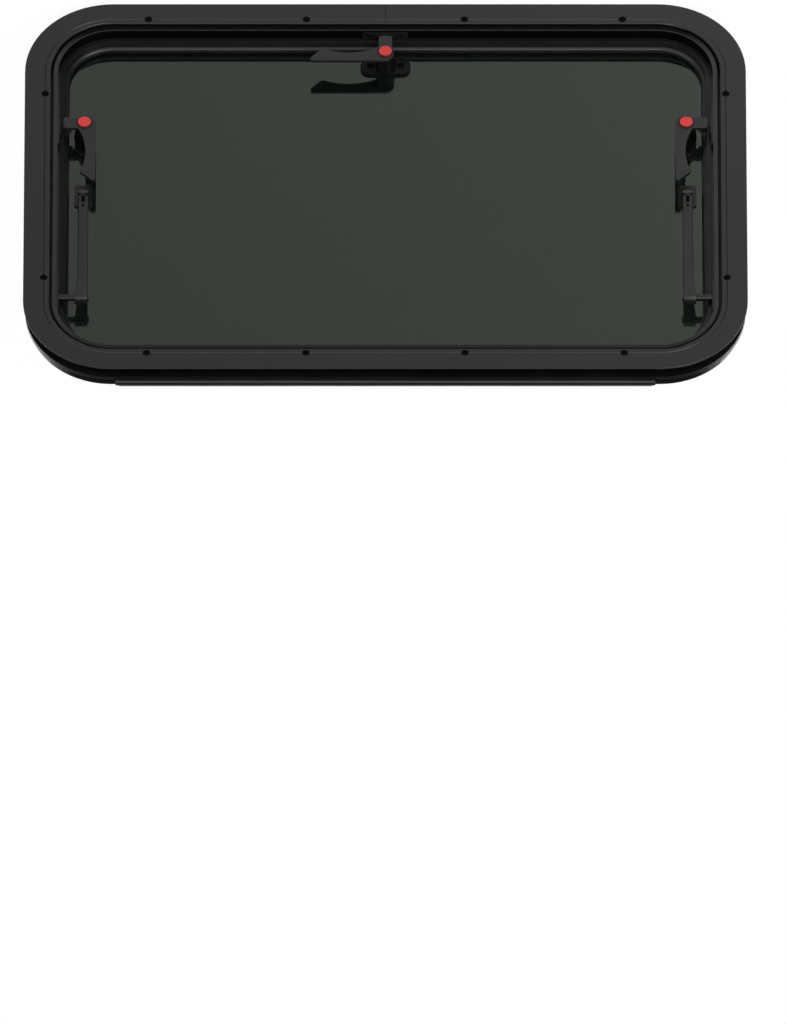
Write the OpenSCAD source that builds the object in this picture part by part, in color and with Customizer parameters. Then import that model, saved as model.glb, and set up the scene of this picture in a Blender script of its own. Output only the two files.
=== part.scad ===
// Top-hung push-out window for a caravan wall: a clamped aluminium frame, a double
// acrylic sash, three turn latches and two telescopic stays.
// Millimetres, +Z up, the room at -Y. The origin lies on the outer flange's wall-side
// face, in the middle of the bottom flange.

/* [Window] */
// Width of the clamp ring
window_w = 734; // [700:1:1000]
// Height of the clamp ring
window_h = 484; // [470:1:640]
// Radius of the clamp ring's outer corners
corner_r = 90; // [85:1:110]
// Clear space for the wall between flange and ring
wall_t = 14; // [13:0.5:20]

/* [Clamp ring] */
// Width of the ring's flange
ring_w = 26.5; // [25.8:0.1:27]
// Thickness of the ring's flange
ring_t = 2; // [1.6:0.1:3]
// Depth of the leg along the ring's inner edge
ring_leg = 8; // [5:0.5:10]
// Thickness of that leg
ring_leg_t = 1.5; // [1:0.1:1.8]
// Distance of the screw holes from the outer edge
hole_inset = 20.8; // [19:0.1:21]
// Diameter of the screw holes
hole_d = 4.5; // [3.5:0.1:5]
// Diameter of their countersinks
sink_d = 8; // [6:0.1:8.4]
// Depth of their countersinks
sink_deep = 1.2; // [0.6:0.1:1.4]
// Distance between the holes along a long side
long_pitch = 161; // [140:1:165]
// Distance between the holes along a short side
short_pitch = 244; // [180:1:250]
// Depth of the drill groove on the face
groove_deep = 0.45; // [0.2:0.05:0.6]
// Width of the pad that presses on the wall
pad_w = 17; // [12:0.5:17.4]
// Height of that pad
pad_h = 0.3; // [0.1:0.05:0.5]

/* [Outer frame] */
// Distance of the flange's edge from the ring's edge
flange_inset = 2; // [1:0.5:4]
// Thickness of the outer flange
flange_t = 3; // [2:0.1:4]
// Height of the drip edge on the flange
drip_h = 2; // [1:0.1:2.6]
// Thickness of the drip edge
drip_t = 1.5; // [1:0.1:2]
// Distance of the sleeve's inner face from the ring's edge
sleeve_in = 33.8; // [33:0.1:35]
// Thickness of the sleeve
sleeve_t = 2.5; // [1.5:0.1:3]
// Width of the sleeve's flanged head
head_w = 5.5; // [4:0.1:5.8]
// Thickness of the head
head_t = 1.5; // [1:0.1:2]
// How far the head lies below the ring's face
head_drop = 2.5; // [1:0.1:4]
// Clear slot of the screw port
port_slot = 3; // [2.5:0.1:3.4]
// Wall of the screw port
port_t = 1.3; // [1:0.1:1.4]
// Width of the seal carrier
carrier_w = 4.7; // [4:0.1:5.5]
// Thickness of the seal carrier
carrier_t = 2; // [1.5:0.1:2.4]

/* [Seal] */
// Wall of the seal's clip
clip_t = 1.4; // [1:0.1:1.8]
// How far the clip grips the carrier
clip_grip = 2.5; // [2:0.1:3]
// Diameter of the seal's bead
bead_d = 8; // [7:0.1:9]
// Gap between the bead and the closed sash
seat_gap = 0.3; // [0.2:0.05:0.6]

/* [Sash] */
// Distance of the sash's edge from the ring's edge
sash_inset = 6; // [5.5:0.1:7]
// Thickness of the inner sheet
inner_t = 2.5; // [2:0.1:4]
// Thickness of the outer sheet
outer_t = 2.5; // [2:0.1:4]
// Width of the flat rim that joins the sheets
rim_w = 18; // [17:0.5:24]
// Height of the outer sheet's formed field
field_h = 11; // [8:0.5:14]

/* [Hinge] */
// Distance of the hinge rail's ends from the frame's corners
rail_end = 7; // [6:0.5:40]
// Distance of the hinge axis from the ring's edge
hinge_inset = 1.5; // [0.5:0.1:2]
// Distance of the hinge axis from the sash, towards the room
hinge_back = 4; // [3.8:0.1:5]
// Diameter of the leaf's round bead
pintle_d = 4; // [3.4:0.1:4.2]
// Radial clearance of the bead in the rail
pintle_gap = 0.1; // [0.05:0.01:0.1]
// Wall of the rail's socket
socket_t = 1.6; // [1.2:0.1:1.7]
// Height of the rail's foot
rail_foot = 14; // [10:0.5:18]
// Thickness of the rail's foot and the leaf
leaf_t = 1.5; // [1.2:0.1:1.6]
// Height of the leaf's leg on the sash
leaf_leg = 14; // [10:0.5:16]
// Thickness of the neck between bead and leaf
neck_t = 1.3; // [1:0.1:1.5]
// Widest opening of the sash in degrees
open_angle = 45; // [30:1:45]

/* [Latches] */
// Distance of the bottom latch from the ring's edge
bottom_inset = 63.5; // [62:0.5:70]
// Distance of the side latches from the ring's edge
side_inset = 61; // [60:0.5:66]
// Distance from a stay's sash pin down to the side latch
latch_drop = 77; // [77:0.5:90]
// Height of the lever's face above the pane
latch_h = 26.5; // [24:0.5:27]
// Length of the latch base
base_l = 51; // [46:0.5:56]
// Width of the latch base
base_w = 20; // [18:0.5:24]
// Thickness of the latch base
base_t = 4; // [3:0.5:5]
// Corner radius of the latch base
base_r = 9; // [5:0.5:9]
// Distance between the base's screws
base_pitch = 31; // [31:0.5:36]
// Diameter of the base's screw holes
base_hole_d = 3.6; // [3:0.1:4]
// Diameter of the column
column_d = 18; // [16:0.5:19]
// Diameter of the lever's spindle
spindle_d = 10; // [8:0.5:12]
// Radial clearance of the spindle
spindle_gap = 0.05; // [0.02:0.01:0.1]
// Thickness of the lever
lever_t = 4; // [3.8:0.1:5]
// Length of the lever from its pivot
lever_l = 76.5; // [70:0.5:76.5]
// Distance of the lever's straight edge from its pivot
boss_out = 11.5; // [11:0.1:13]
// Radius of the lever's boss
boss_r = 10; // [9.6:0.1:11]
// Width of the lever at its narrowest
grip_w = 10.5; // [8:0.1:12]
// Radius of the finger hollow
hollow_r = 70; // [50:1:80]
// Length of the handle's slanted end
slant_l = 12; // [8:0.5:16]
// Reach of the lever's nose from its pivot
nose_reach = 21.5; // [20:0.1:22.5]
// Width of the nose
nose_w = 14; // [11:0.5:14.5]
// How far the nose's cam stands below the lever
nose_drop = 4; // [2:0.5:4.5]
// Diameter of the release button
button_d = 16; // [13:0.1:17]
// Height of the button above the lever
button_rise = 1.5; // [0.8:0.1:2]
// Travel of the button
button_travel = 1.5; // [0.8:0.1:1.6]
// Radial clearance of the button and its stem
button_gap = 0.08; // [0.03:0.01:0.1]
// Depth of the button's pocket
pocket_deep = 3.2; // [3:0.1:3.3]
// Diameter of the button's stem
stem_d = 5; // [4:0.1:6]

/* [Catch plates] */
// Length of a catch plate
catch_l = 46; // [40:0.5:50]
// Depth of a catch plate
catch_w = 9.5; // [9:0.1:10]
// Thickness of a catch plate
catch_t = 1.8; // [1.2:0.1:2]
// Width of the keeper on the plate
keeper_w = 20; // [12:0.5:22]
// Height of the keeper above the plate
keeper_h = 1.8; // [1:0.1:2]

/* [Stays] */
// Distance of the stays from the ring's edge
stay_inset = 60; // [58:0.5:64]
// Distance of a stay's wall pin below the ring's top edge
stay_top = 101; // [96:0.5:110]
// Height of the wall pin above the pane
wall_pin_h = 17.5; // [17:0.5:19]
// Distance of a stay's sash pin below the wall pin
stay_span = 148; // [140:1:160]
// Height of the sash pin above the pane
sash_pin_h = 8.5; // [8:0.5:9.5]
// Diameter of the wall pin's shank
shank_d = 7; // [6:0.1:7]
// Diameter of the wall pin in the block
wall_pin_d = 6; // [4:0.1:6]
// Diameter of the sash pin
sash_pin_d = 4; // [3:0.1:5]
// Radial clearance of both pins
pin_gap = 0.05; // [0.02:0.01:0.1]
// Length of a wall plate
wall_plate_l = 38; // [30:0.5:42]
// Thickness of a wall plate
wall_plate_t = 2; // [1.2:0.1:2.1]
// Width of the pivot block
block_w = 13; // [11:0.5:14]
// Length of the pivot block below its pin
block_l = 18; // [14:0.5:22]
// Width of the tube
tube_w = 10; // [9.4:0.1:11]
// Depth of the tube
tube_d = 11; // [10:0.1:12]
// Wall of the tube
tube_t = 1.2; // [0.8:0.1:1.3]
// Distance of the tube's open end from the sash pin
tube_end = 10.2; // [10:0.1:14]
// Width and depth of the rod
rod_w = 6; // [5.5:0.1:6.2]
// Length of the rod from its eye
rod_l = 118; // [105:1:120]
// Thickness of the rod's eye
eye_t = 5; // [4:0.1:5.2]
// Radius of the eye and the bracket's cheeks
eye_r = 5; // [4.5:0.1:5.2]
// Thickness of a cheek
cheek_t = 1.8; // [1.2:0.1:2.4]
// Gap beside the eye
cheek_gap = 0.3; // [0.2:0.05:0.5]
// Length of the bracket's foot
foot_l = 28; // [26:0.5:34]
// Width of the bracket's foot
foot_w = 18; // [16:0.5:22]
// Thickness of the bracket's foot
foot_t = 2; // [1.5:0.1:2.5]

/* [Hidden] */
$fn = 48;

// Place of the origin on the bottom flange, from the ring's edge
origin_inset = 10;
middle_z = window_h / 2 - origin_inset;
// Faces of the ring, counted from the seat plane towards the room
ring_back = wall_t;
ring_face = wall_t + ring_t;
sleeve_h = ring_face - head_drop;
// Carrier and bead of the seal
carrier_top = 0.8;
carrier_end = sleeve_in + carrier_w;
clip_bottom = carrier_t - carrier_top + clip_t;
bead_in = carrier_end + 3;
bead_out = clip_bottom + 0.1 + bead_d / 2;
// Lap of the field's flat sheet on its shoulder
field_lap = 3;
// Room-side face of the sash
pane_y = bead_out + bead_d / 2 + seat_gap;
rim_y = pane_y + inner_t;
sash_top = window_h / 2 - sash_inset;
// Hinge axis and length of the rail
rail_l = window_w - 2 * (corner_r + rail_end);
hinge_y = pane_y - hinge_back;
hinge_z = window_h / 2 - hinge_inset;
pintle_r = pintle_d / 2;
socket_r = pintle_r + pintle_gap;
// Stays
stay_x = window_w / 2 - stay_inset;
wall_pin_y = pane_y - wall_pin_h;
wall_pin_z = window_h / 2 - stay_top;
sash_pin_y = pane_y - sash_pin_h;
sash_pin_z = wall_pin_z - stay_span;
stay_l = norm([sash_pin_y - wall_pin_y, stay_span]);
stay_tilt = atan2(sash_pin_y - wall_pin_y, stay_span);
// Latches
lever_bottom = latch_h - lever_t;
column_gap = 0.3;
side_latch_x = window_w / 2 - side_inset;
side_latch_z = sash_pin_z - latch_drop;
bottom_latch_z = bottom_inset - window_h / 2;
catch_y = pane_y - latch_h + lever_t + nose_drop + 1;
metal = "#303032";
plastic = "#2a2a2b";
rubber = "#151516";
glazing = "#1d241f";

// Puts a piece drawn from the window's middle into the part's frame
module placed() {
    translate([0, 0, middle_z]) children();
}

// Stands a plan on the wall: its height points towards the room
module on_wall(height = 0) {
    rotate([90, 0, 0]) translate([0, 0, height]) children();
}

// A rounded rectangle with true arcs
module rounded(w, h, r) {
    square([w - 2 * r, h], center = true);
    square([w, h - 2 * r], center = true);
    for (x = [-1, 1], y = [-1, 1]) {
        translate([x * (w / 2 - r), y * (h / 2 - r)]) circle(r);
    }
}

// Sweeps a profile round the window. Its x is the distance in from the ring's outer
// edge, its y the height towards the room
module swept() {
    on_wall() {
        for (side = [0:3]) {
            along = side % 2 == 0 ? window_w : window_h;
            across = side % 2 == 0 ? window_h : window_w;
            rotate([0, 0, 90 * side]) {
                translate([0, across / 2 - corner_r, 0])
                    rotate([90, 0, 90])
                        linear_extrude(along - 2 * corner_r, center = true)
                            from_edge() children();
                translate([along / 2 - corner_r, across / 2 - corner_r, 0])
                    rotate_extrude(angle = 90) from_edge() children();
            }
        }
    }
}

module from_edge() {
    translate([corner_r, 0]) mirror([1, 0]) children();
}

// Straight extrusion along the window, from a profile drawn in Y and Z
module bar(length) {
    rotate([90, 0, 90]) linear_extrude(length, center = true) children();
}

// A cylinder along X, from one place to another
module across(x0, x1, d) {
    translate([min(x0, x1), 0, 0]) rotate([0, 90, 0]) cylinder(h = abs(x1 - x0), d = d);
}

// The twelve places of the ring's screws
module at_ring_screws() {
    for (k = [-1.5, -0.5, 0.5, 1.5], side = [-1, 1]) {
        translate([k * long_pitch, 0, side * (window_h / 2 - hole_inset)]) children();
    }
    for (k = [-0.5, 0.5], side = [-1, 1]) {
        translate([side * (window_w / 2 - hole_inset), 0, k * short_pitch]) children();
    }
}

// Countersunk hole that goes down from its mouth at height zero
module sunk_hole(d, head_d, head_deep, depth) {
    slope = (head_d - d) / head_deep;
    translate([0, 0, -depth]) cylinder(h = depth + 1, d = d);
    translate([0, 0, -head_deep]) cylinder(h = head_deep + 0.2, d1 = d, d2 = head_d + 0.2 * slope);
}

module ring_profile() {
    difference() {
        union() {
            translate([ring_t / 2, ring_back + ring_t / 2]) circle(d = ring_t);
            translate([ring_t / 2, ring_back]) square([ring_w - ring_t / 2 - ring_leg_t, ring_t]);
            translate([ring_w - ring_leg_t, ring_face - ring_leg_t]) circle(ring_leg_t);
            translate([ring_w - ring_leg_t, ring_face - ring_leg])
                square([ring_leg_t, ring_leg - ring_leg_t]);
        }
        translate([hole_inset, ring_face]) rotate(45) square(groove_deep * sqrt(2), center = true);
        translate([pad_w, ring_back - 1]) square([ring_w - ring_leg_t - pad_w, pad_h + 1]);
    }
}

module clamp_ring() {
    color(metal) placed() difference() {
        swept() ring_profile();
        at_ring_screws() on_wall(ring_face) sunk_hole(hole_d, sink_d, sink_deep, ring_t + 1);
    }
}

module frame_profile() {
    translate([flange_inset, -flange_t]) square([sleeve_in - flange_inset, flange_t]);
    translate([flange_inset, -flange_t - drip_h]) square([drip_t, flange_t + drip_h]);
    translate([sleeve_in - sleeve_t, -flange_t]) square([sleeve_t, flange_t + sleeve_h]);
    translate([sleeve_in - head_w, sleeve_h - head_t]) square([head_w, head_t]);
    translate([sleeve_in - sleeve_t, carrier_top - carrier_t])
        square([sleeve_t + carrier_w, carrier_t]);
    for (side = [-1, 1]) {
        translate([hole_inset + side * (port_slot + port_t) / 2 - port_t / 2, -flange_t])
            square([port_t, flange_t + ring_back + pad_h]);
    }
}

module outer_frame() {
    rail_space = rail_l + 2 * (rail_end - 3);
    color(metal) placed() difference() {
        swept() frame_profile();
        translate([-rail_space / 2, flange_t, window_h / 2 - flange_inset - drip_t - 1])
            cube([rail_space, drip_h + 1, drip_t + 2]);
    }
}

module seal_profile() {
    clip_in = carrier_end - clip_grip;
    difference() {
        union() {
            translate([clip_in, -clip_bottom])
                square([clip_grip + 1.8, clip_bottom + carrier_top + clip_t]);
            translate([bead_in - 3, -bead_out]) square([2.8, bead_out]);
            translate([bead_in, -bead_out]) circle(d = bead_d);
        }
        translate([clip_in - 1, carrier_top - carrier_t]) square([clip_grip + 1, carrier_t]);
    }
}

module frame_seal() {
    color(rubber) placed() swept() seal_profile();
}

// The socket's mouth lets the leaf's neck swing from closed to fully open
module mouth() {
    low = neck_angle() - 21;
    high = neck_angle() + open_angle + 21;
    polygon([
        [0, 0], 6 * [cos(low), sin(low)], 9 * [cos((low + high) / 2), sin((low + high) / 2)],
        6 * [cos(high), sin(high)]
    ]);
}

function neck_end() = [pane_y + leaf_t / 2, sash_top + leaf_t / 2];

function neck_angle() = atan2(neck_end()[1] - hinge_z, neck_end()[0] - hinge_y);

module hinge_rail() {
    color(metal) placed() bar(rail_l) difference() {
        union() {
            translate([flange_t, hinge_z - rail_foot]) square([leaf_t, rail_foot]);
            translate([hinge_y, hinge_z]) circle(socket_r + socket_t);
        }
        translate([hinge_y, hinge_z]) circle(socket_r);
        translate([hinge_y, hinge_z]) mouth();
    }
}

module hinge_end_caps() {
    cap_t = 3;
    color(plastic) placed() for (side = [-1, 1]) {
        translate([side * (rail_l + cap_t) / 2, 0, 0]) bar(cap_t) {
            translate([flange_t, hinge_z - rail_foot / 2]) square([leaf_t, rail_foot / 2]);
            translate([hinge_y, hinge_z]) circle(socket_r + socket_t);
        }
    }
}

module hinge_leaf() {
    leaf_l = rail_l - 1;
    leaf_y = rim_y + outer_t;
    color(metal) placed() bar(leaf_l) {
        translate([hinge_y, hinge_z]) {
            circle(pintle_r);
            rotate(neck_angle()) translate([0, -neck_t / 2])
                square([norm(neck_end() - [hinge_y, hinge_z]), neck_t]);
        }
        translate([pane_y, sash_top]) square([leaf_y + leaf_t - pane_y, leaf_t]);
        translate([leaf_y, sash_top - leaf_leg]) square([leaf_t, leaf_leg + leaf_t]);
    }
}

// The space inside the sleeve, whose corner trims a plate that reaches into the curve
module sleeve_space() {
    on_wall() linear_extrude(4 * catch_w, center = true)
        rounded(window_w - 2 * sleeve_in, window_h - 2 * sleeve_in, corner_r - sleeve_in);
}

// Plate on the sleeve: X along the sleeve, Y through the window, Z away from the sleeve
module catch_plate() {
    hole_at = catch_l / 2 - 6;
    difference() {
        union() {
            linear_extrude(catch_t) rounded(catch_l, catch_w, 2);
            translate([0, -catch_w / 2 + 1, catch_t]) rotate([90, 0, 90])
                linear_extrude(keeper_w, center = true)
                    polygon([[0, -0.5], [0, keeper_h * 0.4], [2.5, keeper_h], [6, keeper_h], [6, -0.5]]);
        }
        for (side = [-1, 1]) {
            translate([side * hole_at, 0, catch_t]) sunk_hole(3, 5.4, 1, catch_t + 1);
        }
    }
}

module catch_plate_bottom() {
    color(metal) placed() translate([0, catch_y, sleeve_in - window_h / 2]) catch_plate();
}

module side_catch_plate(side) {
    color(metal) placed() intersection() {
        translate([side * (window_w / 2 - sleeve_in), catch_y, side_latch_z])
            rotate([0, -90 * side, 0]) catch_plate();
        translate([0, catch_y, 0]) sleeve_space();
    }
}

module catch_plate_left() {
    side_catch_plate(-1);
}

module catch_plate_right() {
    side_catch_plate(1);
}

// Wall plate with the pin that a stay turns on
module stay_wall_plate(side) {
    plate_x = window_w / 2 - sleeve_in;
    block_out = stay_x + block_w - tube_w / 2;
    block_in = stay_x - tube_w / 2;
    pin_head = 1.2;
    color(metal) placed() translate([0, wall_pin_y, wall_pin_z]) {
        intersection() {
            translate([side * plate_x, 0, 0]) rotate([0, -90 * side, 0])
                linear_extrude(wall_plate_t) rounded(wall_plate_l, catch_w, 2);
            translate([0, 0, -wall_pin_z]) sleeve_space();
        }
        across(side * (plate_x - wall_plate_t / 2), side * (block_out + cheek_gap), shank_d);
        across(side * plate_x, side * (block_in - cheek_gap), wall_pin_d);
        across(side * (block_in - cheek_gap), side * (block_in - cheek_gap - pin_head), shank_d);
    }
}

module stay_wall_plate_left() {
    stay_wall_plate(-1);
}

module stay_wall_plate_right() {
    stay_wall_plate(1);
}

module inner_pane() {
    color(glazing) placed() on_wall(-rim_y) linear_extrude(inner_t)
        rounded(window_w - 2 * sash_inset, window_h - 2 * sash_inset, corner_r - sash_inset);
}

// Rim and quarter-round shoulder of the outer sheet
module outer_sheet_profile() {
    shoulder_in = sash_inset + rim_w + field_h;
    rim_out = rim_y + outer_t;
    difference() {
        union() {
            translate([sash_inset, -rim_out]) square([shoulder_in - sash_inset, outer_t]);
            intersection() {
                translate([shoulder_in, -rim_out]) circle(field_h);
                translate([shoulder_in - field_h, -rim_out - field_h]) square(field_h);
            }
            translate([shoulder_in, -rim_out - field_h]) square([2 * field_lap, outer_t]);
        }
        translate([shoulder_in, -rim_out]) circle(field_h - outer_t);
        translate([shoulder_in - field_h + outer_t, -rim_out]) square([field_h, outer_t + 1]);
    }
}

module outer_pane() {
    field_in = sash_inset + rim_w + field_h + field_lap;
    color(glazing) placed() {
        swept() outer_sheet_profile();
        on_wall(-rim_y - outer_t - field_h) linear_extrude(outer_t)
            rounded(window_w - 2 * field_in, window_h - 2 * field_in, corner_r - field_in);
    }
}

// Places a latch piece: its pivot on the pane, Z towards the room, Y along the closed
// handle and X along the nose
module at_bottom_latch() {
    placed() translate([0, pane_y, bottom_latch_z]) rotate([90, 0, 0]) rotate(-90) children();
}

module at_right_latch() {
    placed() translate([side_latch_x, pane_y, side_latch_z]) rotate([90, 0, 0]) children();
}

module at_left_latch() {
    mirror([1, 0, 0]) at_right_latch() children();
}

// Base with a hollow column that carries the lever's spindle
module latch_base() {
    difference() {
        union() {
            linear_extrude(base_t) rounded(base_w, base_l, base_r);
            cylinder(h = lever_bottom - column_gap, d = column_d);
            translate([0, 0, base_t]) cylinder(h = 4, d1 = column_d + 3, d2 = column_d);
        }
        translate([0, 0, base_t]) cylinder(h = latch_h, r = spindle_d / 2 + spindle_gap);
        for (side = [-1, 1]) {
            translate([0, side * base_pitch / 2, base_t])
                sunk_hole(base_hole_d, base_hole_d + 3, 1.4, base_t + 1);
        }
    }
}

module latch_base_bottom() {
    color(plastic) at_bottom_latch() latch_base();
}

module latch_base_left() {
    color(plastic) at_left_latch() latch_base();
}

module latch_base_right() {
    color(plastic) at_right_latch() latch_base();
}

// Outline of the lever: boss, nose and sickle-shaped handle
module lever_outline() {
    heel = boss_out - grip_w;
    tip_y = lever_l - slant_l;
    tip_x = hollow_r - heel - sqrt(pow(hollow_r, 2) - pow(tip_y - lever_l / 2, 2));
    nose_r = 2;
    nose_end = nose_reach - nose_r;
    translate([boss_r - boss_out, 1.3]) circle(boss_r);
    translate([0, -nose_w / 2]) square([nose_end, nose_w]);
    translate([0, nose_r - nose_w / 2]) square([nose_reach, nose_w - 2 * nose_r]);
    for (side = [-1, 1]) {
        translate([nose_end, side * (nose_w / 2 - nose_r)]) circle(nose_r);
    }
    difference() {
        polygon([
            [-boss_out, 1], [-boss_out, lever_l - 1], [-boss_out + 1, lever_l],
            [-boss_out + 3.5, lever_l], [tip_x, tip_y], [nose_w / 2, nose_w / 2 - 1],
            [nose_w / 2, 0]
        ]);
        translate([hollow_r - heel, lever_l / 2]) circle(hollow_r);
    }
}

module latch_lever() {
    stem_room = 2;
    spindle_end = base_t + 3;
    difference() {
        union() {
            translate([0, 0, lever_bottom]) linear_extrude(lever_t) lever_outline();
            translate([0, 0, spindle_end]) cylinder(h = latch_h - spindle_end - 1, d = spindle_d);
            translate([0, nose_w / 2 - 1, lever_bottom]) rotate([90, 0, 0]) linear_extrude(nose_w - 2)
                polygon([
                    [column_d / 2 + 3, 0.5], [column_d / 2 + 5, -nose_drop],
                    [nose_reach - 1, -nose_drop], [nose_reach, 0.5]
                ]);
        }
        translate([0, 0, latch_h - pocket_deep])
            cylinder(h = pocket_deep + 1, r = button_d / 2 + button_gap);
        translate([0, 0, spindle_end + stem_room])
            cylinder(h = latch_h, r = stem_d / 2 + button_gap);
    }
}

module latch_lever_bottom() {
    color(plastic) at_bottom_latch() latch_lever();
}

module latch_lever_left() {
    color(plastic) at_left_latch() latch_lever();
}

module latch_lever_right() {
    color(plastic) at_right_latch() latch_lever();
}

// Button with a bevelled rim and a stem in the hollow spindle
module latch_button() {
    bevel = 0.6;
    top = latch_h + button_rise;
    under = latch_h - pocket_deep + button_travel + column_gap;
    stem_end = base_t + 3 + 2 + button_travel + 1;
    translate([0, 0, under]) cylinder(h = top - bevel - under, d = button_d);
    translate([0, 0, top - bevel]) cylinder(h = bevel, d1 = button_d, d2 = button_d - 2 * bevel);
    translate([0, 0, stem_end]) cylinder(h = under - stem_end + 0.5, d = stem_d);
}

module latch_button_bottom() {
    color("#c5423d") at_bottom_latch() latch_button();
}

module latch_button_left() {
    color("#c5423d") at_left_latch() latch_button();
}

module latch_button_right() {
    color("#c5423d") at_right_latch() latch_button();
}

// Places a stay's piece on the right side: its wall pin along X, the stay along -Z and
// the pane at +Y
module at_right_stay() {
    placed() translate([stay_x, wall_pin_y, wall_pin_z]) rotate([stay_tilt, 0, 0]) children();
}

module at_left_stay() {
    mirror([1, 0, 0]) at_right_stay() children();
}

// Pivot block at the tube's upper end
module stay_block() {
    block_in = -tube_w / 2;
    difference() {
        union() {
            across(block_in, block_in + block_w, block_w);
            translate([block_in, -block_w / 2, -block_l]) cube([block_w, block_w, block_l]);
        }
        across(block_in - 1, block_in + block_w + 1, wall_pin_d + 2 * pin_gap);
    }
}

module stay_block_left() {
    color(plastic) at_left_stay() stay_block();
}

module stay_block_right() {
    color(plastic) at_right_stay() stay_block();
}

// Tube with a slot along its pane side, in which the rod slides
module stay_tube() {
    edge_r = 1.5;
    translate([0, 0, tube_end - stay_l]) linear_extrude(stay_l - tube_end - block_l) difference() {
        union() {
            rounded(tube_w, tube_d, edge_r);
            translate([-tube_w / 2, 0]) square([tube_w, tube_d / 2]);
        }
        translate([tube_t - tube_w / 2, tube_t - tube_d / 2]) square([tube_w - 2 * tube_t, tube_d]);
    }
}

module stay_tube_left() {
    color(metal) at_left_stay() stay_tube();
}

module stay_tube_right() {
    color(metal) at_right_stay() stay_tube();
}

// Rod with a flat eye on the sash pin
module stay_rod() {
    translate([0, 0, -stay_l]) difference() {
        union() {
            across(-eye_t / 2, eye_t / 2, 2 * eye_r);
            translate([-eye_t / 2, -rod_w / 2, 0]) cube([eye_t, rod_w, eye_r + 3]);
            translate([-rod_w / 2, -rod_w / 2, eye_r + 1.5]) cube([rod_w, rod_w, rod_l - eye_r - 1.5]);
        }
        across(-eye_t, eye_t, sash_pin_d + 2 * pin_gap);
    }
}

module stay_rod_left() {
    color(metal) at_left_stay() stay_rod();
}

module stay_rod_right() {
    color(metal) at_right_stay() stay_rod();
}

// Bracket on the pane: two cheeks and a pin through the rod's eye
module stay_bracket() {
    cheek_in = eye_t / 2 + cheek_gap;
    cheek_out = cheek_in + cheek_t;
    pin_end = cheek_out + 1;
    placed() translate([stay_x, sash_pin_y, sash_pin_z]) {
        difference() {
            translate([0, sash_pin_h, 0]) rotate([90, 0, 0]) linear_extrude(foot_t)
                rounded(foot_w, foot_l, 3);
            for (side = [-1, 1]) {
                translate([0, sash_pin_h - foot_t, side * (foot_l / 2 - 4)]) rotate([90, 0, 0])
                    sunk_hole(3, 5.4, 1, foot_t + 1);
            }
        }
        for (side = [-1, 1]) {
            across(side * cheek_in, side * cheek_out, 2 * eye_r);
            translate([side * (cheek_in + cheek_out) / 2 - cheek_t / 2, 0, -eye_r])
                cube([cheek_t, sash_pin_h - foot_t / 2, 2 * eye_r]);
        }
        across(-pin_end, pin_end, sash_pin_d);
    }
}

module stay_bracket_left() {
    color(metal) mirror([1, 0, 0]) stay_bracket();
}

module stay_bracket_right() {
    color(metal) stay_bracket();
}

clamp_ring();
outer_frame();
frame_seal();
hinge_rail();
hinge_end_caps();
catch_plate_bottom();
catch_plate_left();
catch_plate_right();
stay_wall_plate_left();
stay_wall_plate_right();
inner_pane();
outer_pane();
hinge_leaf();
latch_base_bottom();
latch_base_left();
latch_base_right();
stay_bracket_left();
stay_bracket_right();
latch_lever_bottom();
latch_lever_left();
latch_lever_right();
latch_button_bottom();
latch_button_left();
latch_button_right();
stay_block_left();
stay_block_right();
stay_tube_left();
stay_tube_right();
stay_rod_left();
stay_rod_right();
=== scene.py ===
import math

import bpy
from mathutils import Matrix, Vector


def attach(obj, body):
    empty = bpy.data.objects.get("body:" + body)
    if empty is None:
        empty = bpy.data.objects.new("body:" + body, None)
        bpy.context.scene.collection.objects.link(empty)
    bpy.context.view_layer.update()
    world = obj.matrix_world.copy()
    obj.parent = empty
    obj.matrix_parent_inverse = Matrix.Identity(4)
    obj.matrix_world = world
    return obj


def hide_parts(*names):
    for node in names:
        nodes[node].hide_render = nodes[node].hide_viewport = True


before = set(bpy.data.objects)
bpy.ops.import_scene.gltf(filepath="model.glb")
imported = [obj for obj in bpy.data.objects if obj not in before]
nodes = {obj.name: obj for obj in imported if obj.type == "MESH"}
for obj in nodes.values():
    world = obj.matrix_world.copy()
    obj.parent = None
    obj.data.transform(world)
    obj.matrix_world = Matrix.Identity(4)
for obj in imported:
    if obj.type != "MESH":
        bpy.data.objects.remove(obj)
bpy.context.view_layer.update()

# Driving dimensions of the window in millimetres, with the origin on its bottom flange
mm = 0.001
window = {
    "width": 734.0,
    "height": 484.0,
    "corner": 90.0,
    "middleZ": 232.0,
    "sleeveX": 333.2,
    "sleeveZ": 23.8,
    "ringFaceY": -16.0,
    "paneY": 11.0,
    "sideLatch": (306.0, 148.0),
    "bottomLatchZ": 53.5,
    "stayX": 307.0,
    "wallPin": (-6.5, 373.0),
    "sashPin": (2.5, 225.0),
    "catchY": -6.5,
}
metres = Matrix.Scale(mm, 4)
sideNames = {-1: "left", 0: "bottom", 1: "right"}

# Helpers for work in edit mode


def clearPick():
    if bpy.context.object and bpy.context.object.mode != "OBJECT":
        bpy.ops.object.mode_set(mode="OBJECT")
    bpy.ops.object.select_all(action="DESELECT")


def named(piece, name):
    piece.name = name
    piece.data.name = name
    return piece


def applyPlace(piece):
    clearPick()
    piece.select_set(True)
    bpy.context.view_layer.objects.active = piece
    bpy.ops.object.transform_apply(location=True, rotation=True, scale=True)


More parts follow.
